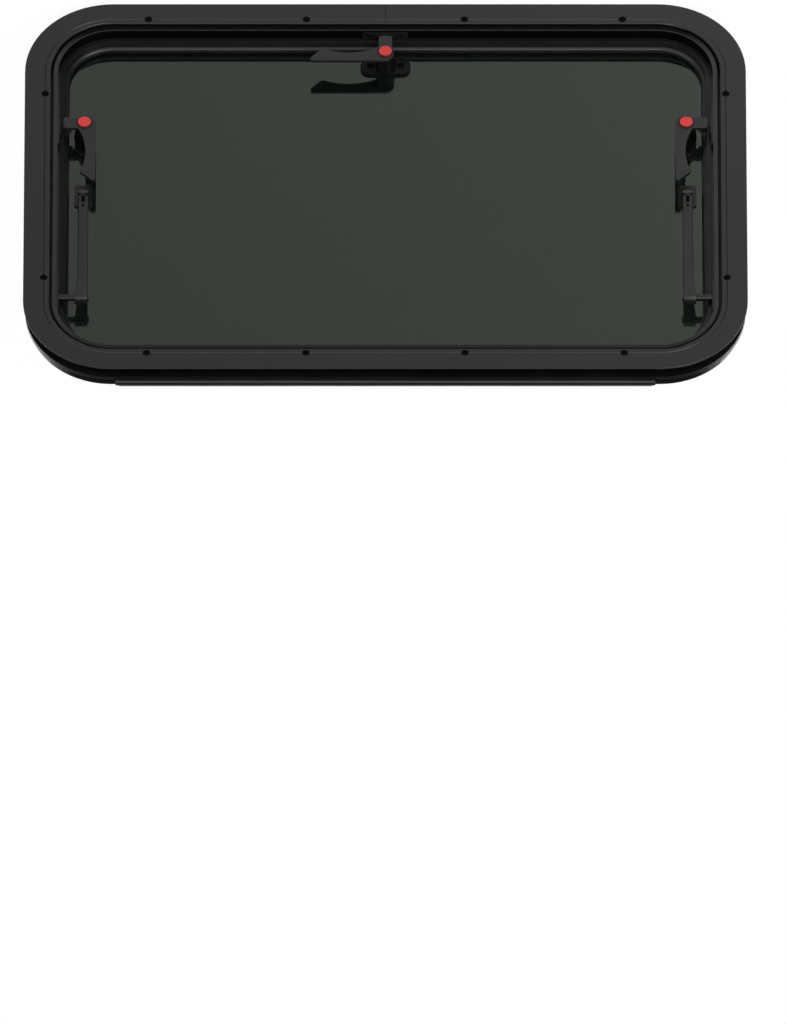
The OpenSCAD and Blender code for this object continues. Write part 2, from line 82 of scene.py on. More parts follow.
def pick(piece, kind, test):
    clearPick()
    piece.select_set(True)
    bpy.context.view_layer.objects.active = piece
    bpy.ops.object.mode_set(mode="EDIT")
    bpy.ops.mesh.select_mode(type=kind)
    bpy.ops.mesh.select_all(action="DESELECT")
    bpy.ops.object.mode_set(mode="OBJECT")
    mesh = piece.data
    if kind == "VERT":
        for v in mesh.vertices:
            v.select = bool(test(v.co))
    elif kind == "EDGE":
        for e in mesh.edges:
            a, b = (mesh.vertices[i].co for i in e.vertices)
            e.select = bool(test((a + b) / 2, (b - a).normalized()))
    else:
        for p in mesh.polygons:
            p.select = bool(test(p.center, p.normal))
    bpy.ops.object.mode_set(mode="EDIT")


def endEdit():
    bpy.ops.object.mode_set(mode="OBJECT")


def addCylinder(radius, depth, place, vertices=32, **turn):
    clearPick()
    bpy.ops.mesh.primitive_cylinder_add(
        vertices=vertices, radius=radius, depth=depth, location=place, **turn
    )
    return bpy.context.object


def addBlock(size, place):
    clearPick()
    bpy.ops.mesh.primitive_cube_add(size=1, location=place)
    block = bpy.context.object
    block.scale = size
    applyPlace(block)
    return block


def shift(piece, kind, test, by):
    pick(piece, kind, test)
    bpy.ops.transform.translate(value=by)
    endEdit()


def extrude(piece, test, by):
    pick(piece, "FACE", test)
    bpy.ops.mesh.extrude_region_move(TRANSFORM_OT_translate={"value": by})
    endEdit()


def bevelEdges(piece, test, width, segments):
    pick(piece, "EDGE", test)
    bpy.ops.mesh.bevel(offset=width, segments=segments, affect="EDGES")
    endEdit()


def roundOff(piece, width, segments, angle=35):
    bpy.context.view_layer.objects.active = piece
    bevel = piece.modifiers.new("edges", "BEVEL")
    bevel.width = width
    bevel.segments = segments
    bevel.limit_method = "ANGLE"
    bevel.angle_limit = math.radians(angle)
    bevel.use_clamp_overlap = True
    clearPick()
    piece.select_set(True)
    bpy.ops.object.modifier_apply(modifier="edges")


def cutOut(piece, tool):
    bpy.context.view_layer.objects.active = piece
    cut = piece.modifiers.new("cut", "BOOLEAN")
    cut.operation = "DIFFERENCE"
    cut.solver = "EXACT"
    cut.object = tool
    clearPick()
    piece.select_set(True)
    bpy.ops.object.modifier_apply(modifier="cut")
    bpy.data.objects.remove(tool)


def joinTo(piece, *others):
    clearPick()
    for other in others:
        other.select_set(True)
    piece.select_set(True)
    bpy.context.view_layer.objects.active = piece
    bpy.ops.object.join()


def smooth(piece, angle=30):
    clearPick()
    piece.select_set(True)
    bpy.context.view_layer.objects.active = piece
    bpy.ops.object.shade_smooth_by_angle(angle=math.radians(angle))


def copyTo(piece, name, place):
    twin = piece.copy()
    twin.data = piece.data.copy()
    named(twin, name)
    bpy.context.scene.collection.objects.link(twin)
    twin.matrix_world = place
    flipped = place.determinant() < 0
    applyPlace(twin)
    if flipped:
        pick(twin, "FACE", lambda c, n: True)
        bpy.ops.mesh.normals_make_consistent(inside=False)
        endEdit()
    return twin


def finishPiece(piece, body, material, slot, *replaced):
    piece.data.materials.clear()
    piece.data.materials.append(material)
    for p in piece.data.polygons:
        p.material_index = 0
    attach(piece, body)
    if replaced:
        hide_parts(*replaced)


# Shared surface effects


def newGroup(name, inputs, outputs):
    group = bpy.data.node_groups.new(name, "ShaderNodeTree")
    for label, kind, value in inputs:
        socket = group.interface.new_socket(name=label, in_out="INPUT", socket_type=kind)
        if value is not None:
            socket.default_value = value
    for label, kind in outputs:
        group.interface.new_socket(name=label, in_out="OUTPUT", socket_type=kind)
    start = group.nodes.new("NodeGroupInput")
    end = group.nodes.new("NodeGroupOutput")
    return group, start, end


def noise(tree, vector, scale, detail, rough=0.5):
    node = tree.nodes.new("ShaderNodeTexNoise")
    node.inputs["Detail"].default_value = detail
    node.inputs["Roughness"].default_value = rough
    if isinstance(scale, (int, float)):
        node.inputs["Scale"].default_value = scale
    else:
        tree.links.new(scale, node.inputs["Scale"])
    tree.links.new(vector, node.inputs["Vector"])
    return node.outputs["Fac"]


def ranged(tree, value, low, high, fromLow=0.0, fromHigh=1.0):
    node = tree.nodes.new("ShaderNodeMapRange")
    node.inputs["From Min"].default_value = fromLow
    node.inputs["From Max"].default_value = fromHigh
    node.inputs["To Min"].default_value = low
    node.inputs["To Max"].default_value = high
    tree.links.new(value, node.inputs["Value"])
    return node.outputs["Result"]


def maths(tree, operation, a, b=0.0):
    node = tree.nodes.new("ShaderNodeMath")
    node.operation = operation
    for socket, value in zip(node.inputs, (a, b)):
        if isinstance(value, (int, float)):
            socket.default_value = value
        else:
            tree.links.new(value, socket)
    return node.outputs["Value"]


# Fine grain of paint and moulded plastic, with broad faint marks from handling
def surfaceGroup():
    group, start, end = newGroup(
        "surfaceGrain",
        [
            ("Vector", "NodeSocketVector", None),
            ("Grain Scale", "NodeSocketFloat", 2600.0),
            ("Mark Scale", "NodeSocketFloat", 22.0),
        ],
        [
            ("Height", "NodeSocketFloat"),
            ("Shade", "NodeSocketFloat"),
            ("Marks", "NodeSocketFloat"),
        ],
    )
    vector = start.outputs["Vector"]
    grain = noise(group, vector, start.outputs["Grain Scale"], 2.0, 0.6)
    broad = noise(group, vector, start.outputs["Mark Scale"], 5.0, 0.55)
    streaks = group.nodes.new("ShaderNodeMapping")
    streaks.inputs["Scale"].default_value = (1.0, 6.0, 1.0)
    group.links.new(vector, streaks.inputs["Vector"])
    fine = noise(group, streaks.outputs["Vector"], 140.0, 4.0, 0.6)
    marks = maths(group, "MULTIPLY", ranged(group, broad, 0, 1, 0.35, 0.7), fine)
    group.links.new(grain, end.inputs["Height"])
    group.links.new(ranged(group, grain, -1, 1, 0.3, 0.7), end.inputs["Shade"])
    group.links.new(marks, end.inputs["Marks"])
    return group


# Sparse settled dust
def dustGroup():
    group, start, end = newGroup(
        "settledDust",
        [("Vector", "NodeSocketVector", None), ("Amount", "NodeSocketFloat", 0.5)],
        [("Mask", "NodeSocketFloat")],
    )
    vector = start.outputs["Vector"]
    cells = group.nodes.new("ShaderNodeTexVoronoi")
    cells.inputs["Scale"].default_value = 260.0
    group.links.new(vector, cells.inputs["Vector"])
    specks = ranged(group, cells.outputs["Distance"], 1, 0, 0.03, 0.12)
    where = ranged(group, noise(group, vector, 9.0, 3.0), 0, 1, 0.45, 0.75)
    both = maths(group, "MULTIPLY", specks, where)
    group.links.new(maths(group, "MULTIPLY", both, start.outputs["Amount"]), end.inputs["Mask"])
    return group


# Butt joint of a bent profile, in the plane of symmetry and below a height, in metres
joint = {"half": 0.00018, "blur": 0.00016, "below": 0.03}


def jointGroup():
    group, start, end = newGroup(
        "buttJoint",
        [("Vector", "NodeSocketVector", None), ("Below", "NodeSocketFloat", joint["below"])],
        [("Mask", "NodeSocketFloat")],
    )
    apart = group.nodes.new("ShaderNodeSeparateXYZ")
    group.links.new(start.outputs["Vector"], apart.inputs["Vector"])
    away = maths(group, "ABSOLUTE", apart.outputs["X"])
    line = ranged(group, away, 1, 0, joint["half"], joint["half"] + joint["blur"])
    low = maths(group, "LESS_THAN", apart.outputs["Z"], start.outputs["Below"])
    group.links.new(maths(group, "MULTIPLY", line, low), end.inputs["Mask"])
    return group


def vectors(tree, operation, a, b=None, out="Vector"):
    node = tree.nodes.new("ShaderNodeVectorMath")
    node.operation = operation
    for socket, value in zip(node.inputs, (a, b)):
        if isinstance(value, tuple):
            socket.default_value = value
        elif value is not None:
            tree.links.new(value, socket)
    return node.outputs[out]


# Painted shade in the sleeve, in metres: its straight runs and corners as the ring has them, then how
# far the slit beside the ring and the head's flat reach in from the ring's edge. The last four
# are two strengths of painted shade and the directions they lie at
straightX = (window["width"] / 2 - window["corner"]) * mm
straightZ = (window["height"] / 2 - window["corner"]) * mm
sleeve = {
    "middle": (0, 0, window["middleZ"] * mm),
    "straight": (straightX, 1, straightZ),
    "corner": window["corner"] * mm,
    "headY": -0.0132,
    "wallY": -0.002,
    "slit": 0.0292,
    "edge": 0.0327,
    "blur": 0.0004,
    "edgeBlur": 0.0003,
    "lower": (1, 0, -0.9, -0.4),
    "upper": (0, 1, 0.4, 0.9),
    "left": (0, 1, 0.6, 0.95),
    "right": (0.6, 0, -0.95, -0.6),
}


# Painted shade in the sleeve: the slit beside the ring, the head's lower and upper runs, the wall.
# The second mask marks the left and right runs, for painted shade on the seal there
def paintedShadeGroup():
    group, start, end = newGroup(
        "sleevePaintedShade",
        [("Vector", "NodeSocketVector", None), ("Upper", "NodeSocketFloat", 0.5)],
        [("Mask", "NodeSocketFloat"), ("Sides", "NodeSocketFloat")],
    )
    fromMiddle = vectors(group, "SUBTRACT", start.outputs["Vector"], sleeve["middle"])
    past = vectors(group, "ABSOLUTE", fromMiddle)
    past = vectors(group, "SUBTRACT", past, sleeve["straight"])
    past = vectors(group, "MAXIMUM", past, (0, 0, 0))
    reach = vectors(group, "LENGTH", past, out="Value")
    inward = maths(group, "SUBTRACT", sleeve["corner"], reach)
    outward = vectors(group, "NORMALIZE", past)
    outward = vectors(group, "MULTIPLY", outward, vectors(group, "SIGN", fromMiddle))
    facing = group.nodes.new("ShaderNodeSeparateXYZ")
    group.links.new(outward, facing.inputs["Vector"])
    lower = ranged(group, facing.outputs["Z"], *sleeve["lower"])
    upper = ranged(group, facing.outputs["Z"], *sleeve["upper"])
    upper = maths(group, "MULTIPLY", upper, start.outputs["Upper"])
    left = ranged(group, facing.outputs["X"], *sleeve["left"])
    right = ranged(group, facing.outputs["X"], *sleeve["right"])
    group.links.new(maths(group, "ADD", left, right), end.inputs["Sides"])
    slit = ranged(group, inward, 1, 0, sleeve["slit"], sleeve["slit"] + sleeve["blur"])
    before = ranged(group, inward, 1, 0, sleeve["edge"], sleeve["edge"] + sleeve["edgeBlur"])
    head = maths(group, "MAXIMUM", maths(group, "MAXIMUM", lower, upper), slit)
    head = maths(group, "MULTIPLY", head, before)
    apart = group.nodes.new("ShaderNodeSeparateXYZ")
    group.links.new(start.outputs["Vector"], apart.inputs["Vector"])
    wallEnd = sleeve["wallY"] + 2 * sleeve["blur"]
    wall = ranged(group, apart.outputs["Y"], 1, 0, sleeve["wallY"], wallEnd)
    onHead = maths(group, "LESS_THAN", apart.outputs["Y"], sleeve["headY"])
    behind = maths(group, "MULTIPLY", wall, maths(group, "SUBTRACT", 1.0, onHead))
    dark = maths(group, "ADD", behind, maths(group, "MULTIPLY", onHead, head))
    group.links.new(dark, end.inputs["Mask"])
    return group


seamGroup = jointGroup()
paintedShadeMasks = paintedShadeGroup()
grainGroup = surfaceGroup()
specksGroup = dustGroup()


def newMaterial(name):
    material = bpy.data.materials.new(name)
    material.use_nodes = True
    tree = material.node_tree
    tree.nodes.clear()
    out = tree.nodes.new("ShaderNodeOutputMaterial")
    shader = tree.nodes.new("ShaderNodeBsdfPrincipled")
    tree.links.new(shader.outputs["BSDF"], out.inputs["Surface"])
    place = tree.nodes.new("ShaderNodeTexCoord").outputs["Object"]
    return material, tree, shader, place


def groupNode(tree, group, place, values):
    node = tree.nodes.new("ShaderNodeGroup")
    node.node_tree = group
    tree.links.new(place, node.inputs["Vector"])
    for label, value in values.items():
        node.inputs[label].default_value = value
    return node


def mixColour(tree, factor, a, b):
    node = tree.nodes.new("ShaderNodeMix")
    node.data_type = "RGBA"
    colours = [s for s in node.inputs if s.type == "RGBA"]
    for socket, value in zip(colours, (a, b)):
        if isinstance(value, tuple):
            socket.default_value = (*value, 1.0)
        else:
            tree.links.new(value, socket)
    tree.links.new(factor, node.inputs["Factor"])
    return [s for s in node.outputs if s.type == "RGBA"][0]


def bump(tree, shader, height, strength, distance):
    node = tree.nodes.new("ShaderNodeBump")
    node.inputs["Strength"].default_value = strength
    node.inputs["Distance"].default_value = distance
    tree.links.new(height, node.inputs["Height"])
    tree.links.new(node.outputs["Normal"], shader.inputs["Normal"])


dustGrey = (0.16, 0.155, 0.15)
seamBlack = (0.001, 0.001, 0.001)
# Near-black of the painted shade in the sleeve
shadeBlack = (0.0015, 0.0015, 0.0015)
fullShine = 0.5
marksRange = (0.1, 0.6)


# Coated or moulded surface: two shades in its grain, settled dust, and shine that varies with
# handling. A seam, painted shade in the sleeve and painted shade on the sides (less shine there) are
# only for the looks that name them
def coated(look):
    material, tree, shader, place = newMaterial(look["name"])
    grain = groupNode(
        tree,
        grainGroup,
        place,
        {"Grain Scale": look["grain"], "Mark Scale": look["marks"]},
    )
    dust = groupNode(tree, specksGroup, place, {"Amount": look["dust"]})
    dark, light = look["dark"], look["light"]
    shade = ranged(tree, grain.outputs["Shade"], 0, 1, -1, 1)
    body = mixColour(tree, shade, dark, light)
    body = mixColour(tree, dust.outputs["Mask"], body, dustGrey)
    shine = shader.inputs["Specular IOR Level"]
    if "seam" in look:
        line = groupNode(tree, seamGroup, place, {"Below": look["seam"]}).outputs["Mask"]
        body = mixColour(tree, line, body, seamBlack)
        tree.links.new(ranged(tree, line, fullShine, 0.08), shine)
    # Painted shade in the sleeve: near-black colour and little shine where the mask lies
    if "inside" in look:
        zone = groupNode(tree, paintedShadeMasks, place, {"Upper": look["inside"]}).outputs["Mask"]
        body = mixColour(tree, zone, body, shadeBlack)
        tree.links.new(ranged(tree, zone, fullShine, 0.05), shine)
    # Painted shade on the left and right runs: less shine there
    if "sides" in look:
        zone = groupNode(tree, paintedShadeMasks, place, {}).outputs["Sides"]
        tree.links.new(ranged(tree, zone, fullShine, look["sides"]), shine)
    tree.links.new(body, shader.inputs["Base Color"])
    rough = ranged(tree, grain.outputs["Marks"], *look["rough"], *marksRange)
    tree.links.new(rough, shader.inputs["Roughness"])
    shader.inputs["IOR"].default_value = look["ior"]
    shader.inputs["Metallic"].default_value = look.get("metal", 0.0)
    bump(tree, shader, grain.outputs["Height"], look["bump"], look["relief"])
    return material


powderCoat = {
    "dark": (0.0030, 0.0030, 0.0032),
    "light": (0.0056, 0.0056, 0.0060),
    "grain": 1900.0,
    "marks": 18.0,
    "dust": 0.25,
    "rough": (0.33, 0.45),
    "ior": 1.53,
    "bump": 0.25,
    "relief": 0.00012,
}
frameBlack = coated({**powderCoat, "name": "powderCoatBlack"})
# The sleeve's powder coat, with painted shade inside it
sleevePowderAndShade = coated({**powderCoat, "name": "powderCoatSleeveAndShade", "inside": 0.5})
ringBlack = coated(
    {**powderCoat, "name": "powderCoatRing", "ior": 1.51, "seam": joint["below"]}
)
stayBlack = coated(
    {
        "name": "painterSatinBlack",
        "dark": (0.0045, 0.0045, 0.0050),
        "light": (0.0085, 0.0085, 0.0092),
        "grain": 2300.0,
        "marks": 40.0,
        "dust": 0.3,
        "rough": (0.30, 0.42),
        "ior": 1.455,
        "bump": 0.2,
        "relief": 0.0001,
    }
)
latchBlack = coated(
    {
        "name": "mouldedBlack",
        "dark": (0.0060, 0.0060, 0.0060),
        "light": (0.0100, 0.0100, 0.0102),
        "grain": 3200.0,
        "marks": 60.0,
        "dust": 0.3,
        "rough": (0.42, 0.55),
        "ior": 1.48,
        "bump": 0.35,
        "relief": 0.00015,
    }
)
buttonRed = coated(
    {
        "name": "mouldedRed",
        "dark": (0.54, 0.020, 0.013),
        "light": (0.64, 0.034, 0.024),
        "grain": 3000.0,
        "marks": 90.0,
        "dust": 0.1,
        "rough": (0.36, 0.48),
        "ior": 1.48,
        "bump": 0.25,
        "relief": 0.0001,
    }
)
# Darker, duller copy of the latch plastic for the base under the lever: painted shade
baseShadeBlack = coated(
    {
        "name": "latchBaseShadeBlack",
        "dark": (0.0020, 0.0020, 0.0022),
        "light": (0.0042, 0.0042, 0.0045),
        "grain": 2600.0,
        "marks": 40.0,
        "dust": 0.2,
        "rough": (0.34, 0.46),
        "ior": 1.22,
        "bump": 0.25,
        "relief": 0.00012,
    }
)
# Darker, duller copy of the button's red for its rim, side and stem: painted shade
rimShadeRed = coated(
    {
        "name": "mouldedRedRimShade",
        "dark": (0.070, 0.0040, 0.0045),
        "light": (0.100, 0.0062, 0.0070),
        "grain": 3000.0,
        "marks": 90.0,
        "dust": 0.1,
        "rough": (0.40, 0.52),
        "ior": 1.25,
        "bump": 0.2,
        "relief": 0.0001,
    }
)
# Paler pink copy of the button's red for its ridge: a painted reflection
ridgeReflectionPink = coated(
    {
        "name": "mouldedRedRidgeReflection",
        "dark": (0.32, 0.050, 0.070),
        "light": (0.42, 0.070, 0.095),
        "grain": 3000.0,
        "marks": 90.0,
        "dust": 0.1,
        "rough": (0.30, 0.42),
        "ior": 1.5,
        "bump": 0.2,
        "relief": 0.0001,
    }
)
# Rubber seal: its left and right runs have less shine, a painted shade
sealRubber = coated(
    {
        "name": "extrudedRubber",
        "sides": 0.1,
        "dark": (0.0050, 0.0050, 0.0050),
        "light": (0.0085, 0.0085, 0.0088),
        "grain": 1500.0,
        "marks": 30.0,
        "dust": 0.5,
        "rough": (0.30, 0.46),
        "ior": 1.52,
        "bump": 0.3,
        "relief": 0.00015,
    }
)
screwSteel = coated(
    {
        "name": "blackenedSteel",
        "dark": (0.05, 0.05, 0.052),
        "light": (0.09, 0.09, 0.093),
        "grain": 4000.0,
        "marks": 200.0,
        "dust": 0.1,
        "rough": (0.28, 0.40),
        "ior": 1.5,
        "metal": 1.0,
        "bump": 0.2,
        "relief": 0.00008,
    }
)
screwBlack = coated(
    {
        "name": "dullBlackScrew",
        "dark": (0.0010, 0.0010, 0.0012),
        "light": (0.0026, 0.0026, 0.0028),
        "grain": 3600.0,
        "marks": 240.0,
        "dust": 0.1,
        "rough": (0.45, 0.60),
        "ior": 1.11,
        "bump": 0.3,
        "relief": 0.0001,
    }
)

# Dark tinted acrylic: light passes it weakly, and its skin waves a little
acrylic = {
    "tint": (0.054, 0.070, 0.060),
    "grain": 700.0,
    "marks": 7.0,
    "dust": 0.05,
    "dustGrey": (0.3, 0.3, 0.3),
    "rough": (0.012, 0.045),
    "waves": 3.5,
    "bump": 0.12,
    "relief": 0.004,
}


def tinted(name, sheen, bend):
    material, tree, shader, place = newMaterial(name)
    scales = {"Grain Scale": acrylic["grain"], "Mark Scale": acrylic["marks"]}
    grain = groupNode(tree, grainGroup, place, scales)
    dust = groupNode(tree, specksGroup, place, {"Amount": acrylic["dust"]})
    body = mixColour(tree, dust.outputs["Mask"], acrylic["tint"], acrylic["dustGrey"])
    tree.links.new(body, shader.inputs["Base Color"])
    spread = ranged(tree, grain.outputs["Marks"], *acrylic["rough"], *marksRange)
    tree.links.new(spread, shader.inputs["Roughness"])
    shader.inputs["Metallic"].default_value = 0.0
    shader.inputs["Transmission Weight"].default_value = 1.0
    shader.inputs["IOR"].default_value = bend
    shader.inputs["Specular Tint"].default_value = (*sheen, 1)
    waves = noise(tree, place, acrylic["waves"], 2.0)
    bump(tree, shader, waves, acrylic["bump"], acrylic["relief"])
    return material


innerAcrylic = tinted("innerAcrylic", (0.92, 1.0, 0.88), 1.61)
outerAcrylic = tinted("outerAcrylic", (1.0, 1.0, 1.0), 1.5)
print("materials ready")

nodeMaterials = {
    "clamp_ring": ringBlack,
    "outer_frame": sleevePowderAndShade,
    "frame_seal": sealRubber,
    "hinge_rail": frameBlack,
    "hinge_leaf": frameBlack,
    "hinge_end_caps": latchBlack,
    "catch_plate_bottom": stayBlack,
    "catch_plate_left": stayBlack,
    "catch_plate_right": stayBlack,
    "stay_wall_plate_left": stayBlack,
    "stay_wall_plate_right": stayBlack,
    "inner_pane": innerAcrylic,
    "outer_pane": outerAcrylic,
}
for name, node in nodes.items():
    node.data.materials.clear()
    node.data.materials.append(nodeMaterials.get(name, stayBlack))
    for p in node.data.polygons:
        p.material_index = 0

# Places of the latches: local X along the nose, Y along the handle, Z to the room
paneY = window["paneY"]
latchX, latchZ = window["sideLatch"]
bottomZ = window["bottomLatchZ"]
latches = {
    "bottom": Matrix(((0, 1, 0, 0), (0, 0, -1, paneY), (-1, 0, 0, bottomZ), (0, 0, 0, 1))),
    "right": Matrix(((1, 0, 0, latchX), (0, 0, -1, paneY), (0, 1, 0, latchZ), (0, 0, 0, 1))),
    "left": Matrix(((-1, 0, 0, -latchX), (0, 0, -1, paneY), (0, 1, 0, latchZ), (0, 0, 0, 1))),
}

# Lever, drawn in millimetres as a strip along its handle: place, left edge and right edge
lever = {
    "low": 22.5,
    "thick": 4.0,
    "stations": [
        (-8.6, -3.4, 0.6),
        (-8.0, -5.2, 3.0),
        (-7.0, -7.1, 6.0),
        (-4.5, -9.7, 7.0),
        (-1.5, -11.1, 7.0),
        (1.3, -11.5, 7.0),
        (4.5, -11.5, 7.0),
        (7.0, -11.5, 6.9),
        (8.6, -11.5, 5.8),
        (11.0, -11.5, 4.5),
        (15.0, -11.5, 3.0),
        (20.0, -11.5, 1.4),
        (26.0, -11.5, 0.1),
        (32.0, -11.5, -0.7),
        (38.0, -11.5, -1.0),
        (45.0, -11.5, -0.7),
        (52.0, -11.5, 0.4),
        (58.0, -11.5, 1.9),
        (62.5, -11.5, 3.6),
        (64.6, -11.5, 4.1),
        (66.4, -11.5, 2.6),
        (75.2, -11.5, -6.6),
        (76.4, -10.2, -8.4),
    ],
    "noseRoot": 7.0,
    "noseEnd": 21.5,
    "noseHalf": 7.0,
    "noseTaper": 2.0,
    "noseNarrow": 1.6,
    "lugLength": 7.5,
    "drop": 4.0,
    "edge": 0.55,
    "pocket": {"radius": 8.15, "depth": 8, "place": (0, 0, 27.3), "vertices": 64},
    "spindle": {"radius": 5.0, "depth": 15.5, "place": (0, 0, 15.2), "vertices": 40},
}


def makeLever():
    low, thick = lever["low"], lever["thick"]
    (y0, l0, r0), (y1, l1, r1) = lever["stations"][:2]
    clearPick()
    bpy.ops.mesh.primitive_plane_add(size=1, location=((l0 + r0) / 2, (y0 + y1) / 2, low))
    piece = named(bpy.context.object, "latchLeverWork")
    piece.scale = (r0 - l0, y1 - y0, 1)
    applyPlace(piece)
    middle = (l0 + r0) / 2
    upper = (y0 + y1) / 2
    shift(piece, "VERT", lambda c: c.y > upper and c.x < middle, (l1 - l0, 0, 0))
    shift(piece, "VERT", lambda c: c.y > upper and c.x > middle, (r1 - r0, 0, 0))
    last = (y1, l1, r1)
    for y, left, right in lever["stations"][2:]:
        at, oldLeft, oldRight = last
        middle = (oldLeft + oldRight) / 2
        pick(piece, "EDGE", lambda c, d: abs(c.y - at) < 1e-3 and abs(d.x) > 0.9)
        bpy.ops.mesh.extrude_region_move(TRANSFORM_OT_translate={"value": (0, y - at, 0)})
        endEdit()

        def onLeft(c):
            return abs(c.y - y) < 1e-3 and c.x < middle

        def onRight(c):
            return abs(c.y - y) < 1e-3 and c.x > middle

        shift(piece, "VERT", onLeft, (left - oldLeft, 0, 0))
        shift(piece, "VERT", onRight, (right - oldRight, 0, 0))
        last = (y, left, right)
    extrude(piece, lambda c, n: True, (0, 0, thick))
    pick(piece, "FACE", lambda c, n: True)
    bpy.ops.mesh.normals_make_consistent(inside=False)
    endEdit()
    half, end = lever["noseHalf"], lever["noseEnd"]
    root, taper = lever["noseRoot"], lever["noseTaper"]
    narrow = lever["noseNarrow"]

    def noseFace(c, n):
        return n.x > 0.9 and abs(c.y) < half and c.x > root - 1.0

    extrude(piece, noseFace, (end - root - taper, 0, 0))
    extrude(piece, noseFace, (taper, 0, 0))
    shift(piece, "VERT", lambda c: c.x > end - 0.5 and c.y < -2, (0, narrow, 0))
    shift(piece, "VERT", lambda c: c.x > end - 0.5 and c.y > 2, (0, -narrow, 0))

    def underNose(c, n):
        return n.z < -0.9 and c.x > end - lever["lugLength"] and abs(c.y) < half

    pick(piece, "EDGE", lambda c, d: root + 1 < c.x < end - taper - 0.5 and abs(d.x) > 0.9)
    bpy.ops.mesh.subdivide(number_cuts=1)
    endEdit()
    extrude(piece, underNose, (0, 0, -lever["drop"]))
    roundOff(piece, lever["edge"], 3, 38)
    cutOut(piece, addCylinder(**lever["pocket"]))
    spindle = addCylinder(**lever["spindle"])
    roundOff(spindle, 0.5, 2)
    joinTo(piece, spindle)
    return piece


workLever = makeLever()
smooth(workLever, 32)
for place, matrix in latches.items():
    piece = copyTo(workLever, "latchLever." + place, metres @ matrix)
    smooth(piece, 32)
    finishPiece(piece, "lever_" + place, latchBlack, "latch_plastic", "latch_lever_" + place)
bpy.data.objects.remove(workLever)
print("levers ready")

# Button: a disc with a turned rim, a ridge and a shallow dish, on a stem
button = {
    "radius": 7.95,
    "under": 25.1,
    "top": 28.0,
    "rim": 1.5,
    "flat": 0.8,
    "slope": 1.0,
    "dish": 0.25,
    "stem": {"radius": 2.4, "depth": 16, "place": (0, 0, 17.4), "vertices": 24},
    "ridgeFrom": 5.7,
    "rimFrom": 6.5,
}


def makeButton():
    thick = button["top"] - button["under"]
    disc = addCylinder(button["radius"], thick, (0, 0, button["under"] + thick / 2), 64)
    piece = named(disc, "latchButtonWork")
    applyPlace(piece)

    def topEdge(c, d):
        return c.z > button["top"] - 0.01 and abs(d.z) < 0.1

    bevelEdges(piece, topEdge, button["rim"], 6)

    def topFace(c, n):
        return n.z > 0.99 and c.z > button["top"] - 0.01

    pick(piece, "FACE", topFace)
    bpy.ops.mesh.inset(thickness=button["flat"])
    bpy.ops.mesh.inset(thickness=button["slope"], depth=-button["dish"])
    endEdit()
    stem = addCylinder(**button["stem"])
    roundOff(stem, 0.4, 2)
    joinTo(piece, stem)
    return piece


workButton = makeButton()
for place, matrix in latches.items():
    piece = copyTo(workButton, "latchButton." + place, metres @ matrix)
    smooth(piece, 28)
    finishPiece(piece, "button_" + place, buttonRed, "button_red", "latch_button_" + place)
    piece.data.materials.append(rimShadeRed)
    piece.data.materials.append(ridgeReflectionPink)
    # Faces on the rim, side and stem take the painted shade; those on the ridge take the painted
    # reflection
    back = (metres @ matrix).inverted()
    for p in piece.data.polygons:
        spot = back @ p.center
        away = math.hypot(spot.x, spot.y)
        if away > button["rimFrom"] or spot.z < button["top"] - 1:
            p.material_index = 1
        elif away > button["ridgeFrom"]:
            p.material_index = 2
bpy.data.objects.remove(workButton)
print("buttons ready")

# Latch base: a rounded plate with two screw cups and a column
base = {
    "length": 51.0,
    "width": 20.0,
    "thick": 4.0,
    "corner": 9.0,
    "rim": 1.1,
    "cupRadius": 4.0,
    "screwAt": 15.5,
    "column": 9.0,
    "foot": 1.18,
    "sunk": 0.5,
    "top": 22.2,
}


def makeBase():
    thick = base["thick"]
    plate = addBlock((base["width"], base["length"], thick), (0, 0, thick / 2))
    piece = named(plate, "latchBaseWork")
    bevelEdges(piece, lambda c, d: abs(d.z) > 0.9, base["corner"], 12)

    def rim(c, d):
        return c.z > thick - 0.01 and abs(d.z) < 0.1

    bevelEdges(piece, rim, base["rim"], 4)
    for side in (-1, 1):
        cutOut(piece, addCylinder(base["cupRadius"], 2, (0, side * base["screwAt"], thick + 0.1), 40))
    low = thick - base["sunk"]
    height = base["top"] - low
    column = addCylinder(base["column"], height, (0, 0, low + height / 2), 64)
    named(column, "latchColumnWork")
    applyPlace(column)
    pick(column, "FACE", lambda c, n: n.z < -0.9)
    bpy.ops.transform.resize(value=(base["foot"], base["foot"], 1), center_override=(0, 0, low))
    endEdit()
    bevelEdges(column, lambda c, d: c.z > base["top"] - 0.01 and abs(d.z) < 0.1, 0.6, 3)
    joinTo(piece, column)
    return piece


# Countersunk screw with a raised head and a cross recess, its axis along Z and its rim at zero
screw = {"radius": 2.7, "depth": 1.0, "under": 0.6, "blade": (0.75, 3.2, 1.8)}


def makeScrew():
    head = addCylinder(screw["radius"], screw["depth"], (0, 0, -screw["depth"] / 2))
    piece = named(head, "screwWork")
    applyPlace(piece)
    pick(piece, "FACE", lambda c, n: n.z > 0.9)
    bpy.ops.mesh.inset(thickness=0.5, depth=0.28)
    bpy.ops.mesh.inset(thickness=0.7, depth=0.14)
    endEdit()
    pick(piece, "FACE", lambda c, n: n.z < -0.9)
    under = (screw["under"], screw["under"], 1)
    bpy.ops.transform.resize(value=under, center_override=(0, 0, -screw["depth"]))
    endEdit()
    thin, long, high = screw["blade"]
    for size in ((thin, long, high), (long, thin, high)):
        cutOut(piece, addBlock(size, (0, 0, 0.5)))
    return piece


